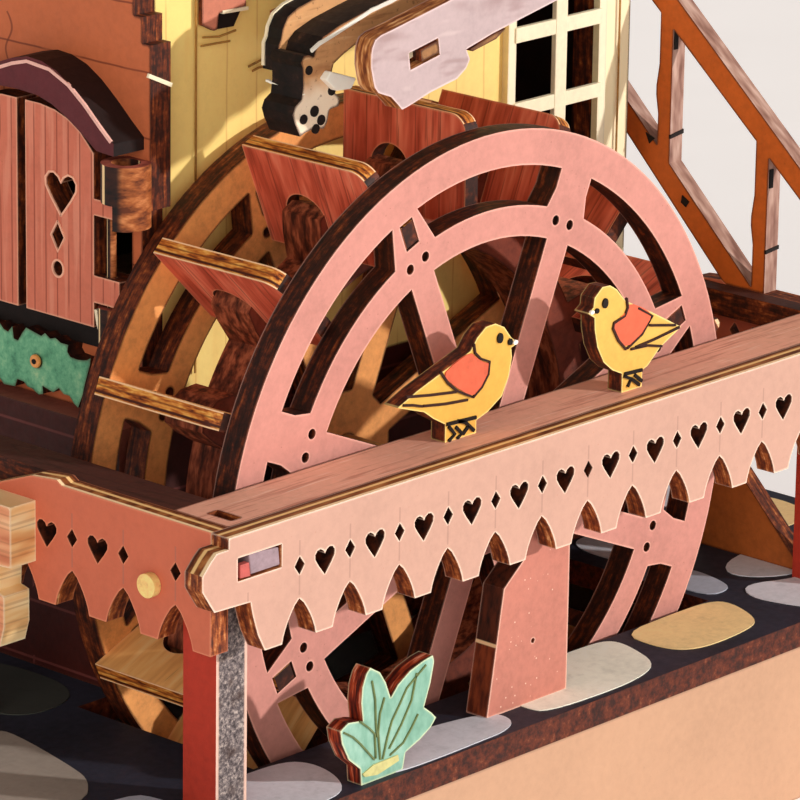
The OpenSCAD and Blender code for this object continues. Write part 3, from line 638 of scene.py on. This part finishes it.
def door_face(M):
    col = paint((206, 114, 90), 0.08, 0.15, 39)(M)
    l = M.line(M.y, 0.235, 0.012, 0.1)
    gap = M.step(M.noise(0.6, 1.4, 0.9, 2, 0.6, 40), 0.34, 0.46)
    stripe = M.step(M.noise(1.0, 7.0, 0.5, 2, 0.5, 41), 0.5, 0.66)
    col = M.mix(M.math("MULTIPLY", stripe, 0.4), col, srgb(234, 158, 132))
    return M.mix(M.mul(l, gap, 0.75), col, srgb(140, 62, 44))


dress("door_leaf_right", ply("door_face_right", "x", door_face, char=0.6, seed=39, halo=(236, 176, 146), rim=0.045))
dress("door_leaf_left", ply("door_face_left", "x", door_face, char=0.6, seed=40, halo=(236, 176, 146), rim=0.045))
# The hood's cut edges are painted near black: a burnt edge darkened further as painted shade.
dress("door_hood", ply("hood_maroon", "x", paint((92, 34, 40), 0.15, 0.0, 41), edge=lambda M: paint((26, 10, 10), 0.3, 0.0, 42)(M), seed=41, burn=0.2))
def barrel_mat():
    M = Mat("barrel_ply", 0.6)
    # Painted light: sides turned towards -x, +y get a pale painted highlight stripe, and sides turned the other way are
    # painted near black as painted shade.
    facing_left_painted_light = M.math("ADD", M.math("MULTIPLY", M.nx, -0.676), M.math("MULTIPLY", M.ny, 0.737))
    n_ = M.noise(3, 3, 9, 3, 0.65, 43)
    side = M.ramp(n_, (0.34, srgb(96, 44, 20)), (0.5, srgb(160, 88, 44)), (0.68, srgb(206, 132, 80)))
    side = M.mix(M.step(facing_left_painted_light, 0.35, 0.05), M.ramp(n_, (0.36, srgb(16, 6, 5)), (0.6, srgb(52, 22, 14))), side)
    side = M.mix(M.near(facing_left_painted_light, 0.86, 0.05), side, srgb(250, 214, 160))
    topc = M.ramp(n_, (0.36, srgb(120, 50, 40)), (0.6, srgb(176, 92, 76)))
    M.colour(M.mix(M.gt(M.nz, 0.8), side, topc))
    M.bump(n_, 0.3, 0.02)
    return M


dress("door_hinges", barrel_mat())


def grass_face(M):
    n = M.math("ADD", M.math("MULTIPLY", M.noise(2.2, 2.2, 2.2, 3, 0.6, 44), 0.45), M.math("MULTIPLY", M.noise(9, 9, 9, 4, 0.7, 45), 0.55))
    return M.ramp(n, (0.34, srgb(64, 124, 96)), (0.45, srgb(92, 160, 124)), (0.56, srgb(116, 182, 142)), (0.7, srgb(170, 204, 158)))


dress("grass_board", ply("grass_print", "x", grass_face, char=0.8, seed=44, burn=0.5))
dress("window_frame", ply("window_cream", "y", paint((252, 240, 208), 0.03, 0.0, 45), edge=lambda M: paint((244, 226, 180), 0.06, 0.0, 45)(M), seed=45, burn=0.15))

# chute
dress("chute_front", ply("chute_mauve", "y", streaked((190, 168, 170), (148, 116, 114), (218, 198, 196), "x", 46, 1.6), edge=lambda M: M.ramp(M.noise(2.5, 16, 2.5, 2.5, 0.6, 46),
    (0.36, srgb(110, 52, 20)), (0.5, srgb(168, 100, 52)), (0.6, srgb(214, 150, 92)), (0.74, srgb(246, 206, 156))), seed=46, halo=(240, 214, 212), rim=0.05))
def chute_face(M):
    col = streaked((216, 160, 108), (150, 92, 56), (244, 204, 156), "x", 47, 4.0)(M)
    low = M.math("SUBTRACT", 1.0, M.step(M.math("ADD", M.z, M.math("MULTIPLY", M.noise(3, 3, 3, 2, 0.5, 48), 0.3)), 5.5, 5.9))
    specks = M.step(M.noise(9, 9, 9, 3, 0.7, 49), 0.6, 0.68)
    col = M.mix(M.math("MULTIPLY", low, 0.85), col, srgb(255, 238, 214))
    return M.mix(M.math("MULTIPLY", specks, 0.5), col, srgb(120, 66, 40))


# The chute back's cut edges are painted near black: a burnt edge darkened further as painted shade.
dress("chute_back", ply("chute_tan", "y", chute_face, edge=lambda M: M.ramp(M.noise(5, 5, 5, 4, 0.7, 47),
    (0.4, srgb(10, 5, 6)), (0.58, srgb(30, 16, 14)), (0.72, srgb(70, 44, 34)), (0.84, srgb(130, 96, 74))), seed=47))
dress("chute_floor", ply("chute_floor_ply", "y", paint((170, 120, 76), 0.2, 0.2, 48), char=0.6, seed=48))

# right side
dress("stair_railing", ply("railing_orange", "x", paint((204, 100, 36), 0.12, 0.2, 49), edge=lambda M: M.ramp(
    M.noise(7, 2, 2, 2.0, 0.5, 49), (0.3, srgb(126, 86, 74)), (0.5, srgb(168, 128, 114)), (0.7, srgb(202, 168, 154))), seed=49))
dress("right_bracket", ply("bracket_orange", "x", paint((184, 98, 42), 0.15, 0.2, 50), char=0.5, seed=50))

# ------------------------------------------------------------------ details
def rounded(pts, times=2):
    """Corners cut off, twice by default, so that a drawn outline turns soft."""
    for _ in range(times):
        out = []
        for i, a in enumerate(pts):
            b = pts[(i + 1) % len(pts)]
            out.append((0.75 * a[0] + 0.25 * b[0], 0.75 * a[1] + 0.25 * b[1]))
            out.append((0.25 * a[0] + 0.75 * b[0], 0.25 * a[1] + 0.75 * b[1]))
        pts = out
    return pts


def shut(pts):
    return list(pts) + [pts[0]]


def flip(polys, y0):
    """The same outlines mirrored in the first coordinate about y0."""
    return [[(2 * y0 - a, b) for a, b in poly] for poly in polys]


# Black, cream and white are paints; on some details, black also stands for painted shade, and cream and white for
# painted highlights.
black = simple("black_paint_and_shade", (20, 9, 7), 0.75, 0.4, 61)
cream = simple("cream_paint_and_highlight", (250, 236, 204), 0.6, 0.06, 62)
white = simple("white_paint_and_highlight", (255, 250, 238), 0.6, 0.04, 63)
pale_pink = simple("pale_pink_line", (238, 184, 172), 0.6, 0.1, 60)
copper = simple("copper_screw", (222, 146, 76), 0.4, 0.25, 64, 0.5)
orange_ply = simple("orange_ply", (206, 130, 62), 0.6, 0.3, 65)
brown_ply = simple("brown_ply", (120, 58, 24), 0.65, 0.35, 66)
wing_paint = simple("wing_coral", (222, 100, 70), 0.6, 0.12, 67)
olive = simple("olive_line", (104, 118, 72), 0.7, 0.2, 68)

# left bird: y 0.8 is its face
F0, F1 = 0.78, 0.81
wing_l = [(4.3, 1.94), (4.4, 1.85), (4.57, 1.74), (4.71, 1.69), (4.67, 1.53), (4.54, 1.38), (4.36, 1.27), (4.12, 1.41), (3.87, 1.58), (3.72, 1.73), (3.98, 1.86)]
plates("bird_left_wing", [rounded(wing_l, 1)], "xz", F0, F1, wing_paint)
lines("bird_left_ink", [[(4.36, 2.05), (4.39, 1.91), (4.51, 1.8), (4.7, 1.72), (4.68, 1.54), (4.55, 1.38), (4.36, 1.26)],
                        [(3.66, 1.79), (3.83, 1.58), (4.04, 1.42), (4.33, 1.28)], [(2.96, 1.57), (3.46, 1.49), (4.0, 1.42)],
                        [(3.32, 1.36), (3.79, 1.29), (4.25, 1.25)], [(3.3, 1.36), (3.1, 1.42), (2.9, 1.46)]], "xz", F0 - 0.008, F1, 0.034, ink)
plates("bird_left_eye", [blob(4.92, 2.02, 0.06, 0.075, 16, 2.0), blob(5.14, 1.92, 0.045, 0.05, 12, 2.0)], "xz", F0 - 0.008, F1, black)
plates("bird_left_beak", [blob(5.25, 1.89, 0.05, 0.035, 12, 2.0)], "xz", F0 - 0.008, F1, white)
lines("bird_left_feet", [[(3.86, 0.94), (3.99, 0.8), (3.86, 0.72)], [(4.01, 0.9), (4.14, 0.78), (4.04, 0.72)], [(4.28, 0.86), (4.16, 0.76)],
                         [(4.05, 0.98), (4.22, 0.92), (4.4, 0.76)], [(3.82, 0.98), (4.44, 0.95)]], "xz", F0 - 0.008, F1, 0.05, black)
# right bird: y 0.6 is its face
F0, F1 = 0.58, 0.61
wing_r = [(7.53, 2.06), (7.94, 1.87), (8.05, 1.74), (7.83, 1.52), (7.47, 1.38), (7.29, 1.55), (7.17, 1.76), (7.22, 1.83), (7.47, 1.92)]
plates("bird_right_wing", [rounded(wing_r, 1)], "xz", F0, F1, wing_paint)
lines("bird_right_ink", [[(7.46, 2.14), (7.49, 1.99), (7.43, 1.88), (7.19, 1.82), (7.17, 1.74), (7.3, 1.53), (7.48, 1.36)], [(7.72, 1.94), (8.06, 1.75), (7.83, 1.52), (7.5, 1.37)],
                         [(7.7, 1.35), (8.1, 1.38), (8.69, 1.45)], [(7.59, 1.34), (7.97, 1.32), (8.3, 1.24)], [(8.0, 1.62), (8.3, 1.56), (8.6, 1.5)]],
      "xz", F0 - 0.008, F1, 0.034, ink)
plates("bird_right_eye", [blob(6.98, 2.16, 0.06, 0.075, 16, 2.0), blob(6.8, 2.08, 0.045, 0.04, 12, 2.0)], "xz", F0 - 0.008, F1, black)
plates("bird_right_beak", [blob(6.69, 2.08, 0.045, 0.03, 12, 2.0)], "xz", F0 - 0.008, F1, white)
lines("bird_right_feet", [[(7.45, 0.96), (7.61, 0.89), (7.54, 0.78)], [(7.61, 0.89), (7.81, 0.75)], [(7.69, 0.93), (7.86, 0.8)], [(7.46, 0.99), (7.86, 0.97)]],
      "xz", F0 - 0.008, F1, 0.05, black)

# leaf: y -0.08 is its face
veins = [[(0.82, -2.61), (1.01, -2.73), (1.16, -2.87), (1.45, -3.18)], [(1.14, -2.53), (1.33, -2.68), (1.45, -2.8), (1.48, -3.17)],
         [(1.38, -2.0), (1.45, -2.29), (1.47, -2.65), (1.5, -2.86)], [(1.64, -2.31), (1.55, -2.53), (1.52, -2.8), (1.57, -3.21)],
         [(2.49, -2.05), (2.1, -2.29), (1.95, -2.5), (1.8, -2.7), (1.71, -2.92), (1.62, -3.22)], [(2.34, -2.74), (2.21, -2.91), (2.04, -3.09), (1.77, -3.2)],
         [(2.3, -2.12), (2.2, -2.5), (2.0, -2.8), (1.75, -3.1)]]
lines("leaf_veins", veins, "xz", -0.1, -0.07, 0.026, olive)
plates("leaf_foot", [[(1.21, -3.33), (1.25, -3.38), (1.51, -3.42), (1.95, -3.33), (1.93, -3.24), (1.43, -3.25)]], "xz", -0.1, -0.07,
       simple("leaf_foot", (196, 190, 128), 0.6, 0.2, 69))


# painted stones on the ground board
def stone(name, base, seed):
    M = Mat(name, 0.7)
    col = paint(base, 0.08, 0.15, seed)(M)
    edge = M.noise(3.5, 3.5, 3.5, 3, 0.6, seed + 1)
    col = M.mix(M.math("MULTIPLY", M.step(edge, 0.56, 0.74), 0.25), col, srgb(*[int(c * 0.72) for c in base]))
    M.colour(col)
    return M


s_cream, s_ochre, s_grey = stone("stone_cream", (255, 252, 236), 71), stone("stone_ochre", (255, 222, 160), 72), stone("stone_grey", (222, 222, 232), 73)
# The dark stone material is painted near black as painted shade.
s_blue, s_dark, s_mid = stone("stone_blue", (180, 184, 200), 74), stone("stone_painted_shade", (58, 60, 56), 78), stone("stone_mid_half_shade", (160, 148, 138), 80)
Z0, Z1 = -3.505, -3.485
creams = [[(5.2, -0.02), (6.6, -0.1), (7.4, -0.02), (7.9, 0.22), (8.15, 0.85), (8.2, 1.2), (8.05, 1.36), (7.6, 1.4), (6.2, 1.4), (5.5, 1.3), (5.2, 0.9), (5.1, 0.3)]]
ochres = [[(8.53, 1.36), (9.7, 1.4), (10.6, 1.38), (10.8, 1.1), (10.5, 0.36), (10.1, 0.15), (9.07, 0.09), (8.6, 0.26), (8.45, 0.7)]]
greys = [[(1.46, 0.07), (1.97, -0.12), (2.87, -0.14), (3.63, -0.12), (4.18, -0.11), (4.57, 0.07), (4.65, 0.4), (4.4, 0.6), (3.69, 0.75), (2.64, 0.85), (1.8, 0.7), (1.4, 0.35)],
         [(-0.6, -0.12), (0.5, -0.15), (0.95, 0.0), (1.25, 0.5), (1.32, 1.0), (1.1, 1.3), (0.3, 1.35), (-0.5, 1.3), (-0.9, 0.9), (-0.95, 0.2)],
         [(11.75, 1.9), (12.3, 1.3), (13.2, 1.2), (14.0, 1.5), (14.2, 2.2), (13.4, 2.5), (12.2, 2.4)],
         [(11.2, 1.1), (11.35, 0.4), (11.6, -0.1), (13.0, -0.12), (14.0, 0.0), (14.3, 0.5), (13.8, 1.0), (12.4, 1.1), (11.6, 1.5)]]
blues = [[(-3.2, -0.1), (-1.6, -0.15), (-1.2, 0.3), (-1.1, 1.5), (-1.3, 2.0), (-3.1, 1.9), (-3.4, 1.4), (-3.45, 0.3)],
         [(10.75, 1.55), (11.3, 1.5), (11.5, 1.9), (11.6, 2.6), (11.2, 2.9), (10.8, 2.8)]]
half_shaded_stones, painted_shade_stones = [], []
# A grey stone painted a darker mid tone, partly as painted shade.
half_shaded_stones.append([(-3.4, 2.3), (-1.9, 2.2), (-1.35, 2.7), (-1.15, 3.2), (-0.8, 4.8), (-0.9, 5.1), (-1.6, 5.3), (-3.0, 5.3), (-3.5, 4.6)])
rng = random.Random(7)
for i, cx in enumerate((-2.5, -0.1, 2.5, 4.9, 7.3, 9.9, 12.4, 14.5)):
    (greys, blues, creams, ochres)[i % 4].append(blob(cx, 9.95, 1.0 if i < 7 else 0.75, 0.36, 20, 2.8, 0.0, 0.04, rng))
for i, (cx, cy, rx, ry) in enumerate(((14.55, 3.6, 0.7, 0.8), (14.3, 5.5, 0.75, 0.85), (14.5, 7.3, 0.7, 0.75), (14.4, 8.9, 0.75, 0.5), (-2.3, 6.6, 0.95, 0.9),
                                      (-2.4, 8.5, 0.9, 0.7), (0.2, 8.8, 0.9, 0.45), (11.6, 3.9, 0.55, 0.8), (0.3, 6.4, 0.85, 1.2))):
    (ochres, greys, creams, blues, ochres, greys, blues, greys, painted_shade_stones)[i].append(blob(cx, cy, rx, ry, 20, 2.8, 0.0, 0.05, rng))
plates("stones_cream", [rounded(p) for p in creams], "xy", Z0, Z1, s_cream)
plates("stones_ochre", [rounded(p) for p in ochres], "xy", Z0, Z1, s_ochre)
plates("stones_grey", [rounded(p) for p in greys], "xy", Z0, Z1, s_grey)
plates("stones_blue", [rounded(p) for p in blues], "xy", Z0, Z1, s_blue)
plates("stones_painted_shade", [rounded(p) for p in painted_shade_stones], "xy", Z0, Z1, s_dark)
plates("stones_mid_half_shade", [rounded(p) for p in half_shaded_stones], "xy", Z0, Z1, s_mid)

# window bars
bars = [[(9.86, a), (11.9, a), (11.9, b), (9.86, b)] for a, b in ((3.63, 3.86), (4.8, 5.04), (5.97, 6.2))]
plates("window_bars", bars, "xz", 4.9, 4.99, cream, bevel=0.015)
plates("window_mullion", [[(10.78, 2.46), (11.05, 2.46), (11.05, 6.34), (10.78, 6.34)]], "xz", 4.89, 4.985, cream, bevel=0.015)

# marks on the window wall
ochre_ink = simple("ochre_ink", (160, 116, 54), 0.7, 0.3, 75)
lines("wall_ticks", [[(3.17, 5.96), (3.51, 5.92), (3.85, 5.96)], [(3.14, 5.84), (3.45, 5.83), (3.73, 5.82)], [(4.11, 5.38), (4.46, 5.45)], [(4.19, 5.3), (4.33, 5.33), (4.54, 5.32)]],
      "xz", 4.99, 5.01, 0.028, ochre_ink)
plates("wall_plaque", [[(3.09, 7.2), (3.09, 6.16), (3.34, 6.04), (3.4, 6.05), (3.43, 6.28), (3.99, 6.3), (3.99, 7.2)]], "xz", 4.93, 5.01,
       ply("plaque_pink", "y", paint((206, 128, 104), 0.1, 0.0, 76), seed=76), bevel=0.01)
plates("wall_plaque_shadow", [[(3.43, 6.27), (3.93, 6.24), (3.79, 6.03), (3.38, 6.04)]], "xz", 4.985, 5.01, black)
lines("wall_plaque_line", [[(3.5, 6.29), (4.02, 6.27)]], "xz", 4.915, 5.0, 0.05, cream)
lines("wall_seam", [[(3.04, 1.0), (3.04, 7.2)], [(12.42, 0.8), (12.42, 7.4)]], "xz", 4.992, 5.01, 0.03, ochre_ink)

# chute
plates("chute_knots", [blob(x, z, r, r * 0.95, 14, 2.0) for x, z, r in ((3.38, 5.2, 0.085), (3.16, 5.12, 0.075), (3.52, 5.05, 0.08), (3.41, 4.94, 0.075), (3.73, 5.44, 0.075), (3.26, 5.81, 0.07))],
       "xz", 2.985, 3.01, black)
# Painted highlights: a white line along the chute's top edge and a cream line along the back board's edge.
lines("chute_top_highlight", [[(3.3, 6.08), (3.46, 6.16), (3.75, 6.24), (4.53, 6.47), (4.94, 6.54), (6.2, 6.84), (8.0, 7.25)]], "xz", 2.98, 3.01, 0.055, white)
lines("chute_back_highlight", [[(3.22, 5.75), (3.22, 6.08), (3.27, 6.16), (3.3, 6.3), (3.4, 6.46), (3.6, 6.56), (3.9, 6.63), (5.2, 6.9), (8.4, 7.52)]], "xz", 3.81, 3.86, 0.045, cream)
plates("chute_tab", [[(3.58, 5.76), (4.1, 5.58), (4.0, 5.44), (3.7, 5.46), (3.47, 5.66)]], "xz", 2.86, 3.0, white, bevel=0.02)
plates("chute_slot_tab", [[(4.16, 5.93), (4.5, 6.03), (4.5, 6.12), (4.16, 6.04)]], "xz", 2.02, 2.4, cream, bevel=0.01)

lines("chute_end_line", [[(3.72, 5.56), (3.4, 5.51), (3.0, 5.47)]], "yz", 3.14, 3.19, 0.03, white)
lines("wall_step_line", [[(1.8, 5.68), (2.26, 5.47)]], "xz", 4.7, 4.74, 0.06, cream)
lines("hood_line", [[(8.7, 4.78), (8.3, 5.0), (7.9, 5.22), (7.5, 5.38), (7.16, 5.48), (6.9, 5.58), (6.6, 5.66), (6.14, 5.62), (5.76, 5.46), (5.45, 5.24), (5.1, 4.94), (4.9, 4.78)]],
      "yz", 1.235, 1.27, 0.05, pale_pink)
lines("tab_strip", [[(5.4, 2.2), (5.36, 2.0), (5.28, 1.8)]], "yz", 1.42, 1.5, 0.05, cream)
slot = [(13.07, 2.4), (13.16, 2.4), (13.16, 2.7), (13.07, 2.7)]
plates("rail_slot_low", [slot, [(13.04, 1.35), (13.36, 1.38), (13.36, 1.44), (13.04, 1.41)]], "xz", 2.43, 2.47, black)
plates("rail_slot_high", [[(a, b + 1.87) for a, b in slot], [(13.04, 2.84), (13.36, 2.88), (13.36, 2.95), (13.04, 2.9)]], "xz", 4.41, 4.45, black)
plates("rail_notches", [[(4.92, 2.86), (4.74, 2.79), (4.84, 2.69)], [(4.14, 1.98), (4.0, 1.9), (4.06, 1.8), (4.16, 1.86)]], "yz", 13.03, 13.06, black)

# aprons
plates("apron_tenon", [[(-0.97, 0.4), (-0.39, 0.35), (-0.36, 0.09), (-0.93, 0.09)]], "xz", 0.02, 0.3, simple("tenon_grey", (150, 128, 136), 0.6, 0.25, 77), bevel=0.02)
plates("apron_tenon_red", [[(-1.15, 0.28), (-0.98, 0.28), (-0.95, 0.08), (-1.15, 0.09)]], "xz", 0.0, 0.1, simple("tenon_red", (190, 90, 84), 0.6, 0.2, 78), bevel=0.01)

# door: pale cut lines round the heart, diamond and dot, and their twins on the other leaf
HEART = [(0, -0.22), (-0.13, -0.06), (-0.19, 0.03), (-0.195, 0.1), (-0.15, 0.155), (-0.09, 0.165), (-0.03, 0.13), (0, 0.08),
         (0.03, 0.13), (0.09, 0.165), (0.15, 0.155), (0.195, 0.1), (0.19, 0.03), (0.13, -0.06)]
pale = simple("pale_cut", (240, 178, 150), 0.6, 0.1, 79)
right_marks = [shut([(6.12 + 1.64 * a, 3.8 + 1.64 * b) for a, b in HEART]), shut([(6.19, 3.36), (6.33, 3.13), (6.19, 2.9), (6.05, 3.13)]), shut(blob(6.19, 2.65, 0.115, 0.125, 20, 2.0))]
lines("door_right_marks", right_marks, "yz", 1.435, 1.46, 0.03, pale, body="door_right")
lines("door_left_marks", flip(right_marks, 6.945), "yz", 1.435, 1.46, 0.03, pale, body="door_left")
plates("grass_screw", [blob(6.72, 1.14, 0.1, 0.1, 20, 2.0)], "yz", 1.46, 1.52, copper, bevel=0.02)
plates("grass_screw_slot", [blob(6.72, 1.14, 0.045, 0.04, 12, 2.0)], "yz", 1.45, 1.47, black)
# A black strip under the doors: a painted shadow in the recess below the leaves.
plates("door_foot_shadow", [[(4.95, 1.5), (4.95, 1.72), (5.3, 1.86), (5.6, 1.78), (5.9, 1.9), (6.3, 1.84), (6.7, 1.94), (7.2, 1.84), (7.6, 1.94), (8.0, 1.84), (8.4, 1.9), (8.9, 1.72), (8.9, 1.5)]],
       "yz", 1.78, 1.86, black)

# ------------------------------------------------------------------ floor, light
floor_m = Mat("studio_floor", 0.75, 0.2)
floor_m.colour(paint((246, 242, 242), 0.015, 0.0, 60)(floor_m))
floor_m.b.inputs["Emission Color"].default_value = (1.0, 0.96, 0.95, 1)
# The floor glows evenly except under the base, where the missing glow is a painted shade beneath the model.
painted_shade_under_base = floor_m.mul(floor_m.between(floor_m.x, -3.6, 15.6), floor_m.between(floor_m.y, -0.2, 10.6))
floor_m.put(floor_m.b.inputs["Emission Strength"], floor_m.math("MULTIPLY", floor_m.math("SUBTRACT", 1.0, painted_shade_under_base), 0.27))
bm = bmesh.new()
vs = [bm.verts.new(p) for p in ((-3, -3, 0), (3, -3, 0), (3, 3, 0), (-3, 3, 0))]
bm.faces.new(vs)
floor = finish_mesh(bm, "studio_floor", floor_m, None)

world = bpy.data.worlds.new("studio")
bpy.context.scene.world = world
world.use_nodes = True
world.node_tree.nodes["Background"].inputs[0].default_value = (1.0, 0.92, 0.84, 1)
world.node_tree.nodes["Background"].inputs[1].default_value = 0.27


def sun(direction, strength, colour, angle, name="key"):
    l = bpy.data.lights.new(name, "SUN")
    l.energy = strength
    l.color = colour
    l.angle = math.radians(angle)
    o = bpy.data.objects.new(name, l)
    bpy.context.scene.collection.objects.link(o)
    o.rotation_euler = Vector(direction).to_track_quat("-Z", "Y").to_euler()
    return o


sun((-0.47, 0.79, -0.32), 2.55, (1.0, 0.955, 0.9), 2.0)
sun((0.3, 0.94, -0.12), 0.5, (1.0, 0.94, 0.84), 60.0, "front_fill")
sun((0.84, 0.44, -0.16), 1.5, (1.0, 0.92, 0.81), 50.0, "fill")
sc = bpy.context.scene
sc.view_settings.view_transform = "Standard"
sc.view_settings.look = "None"
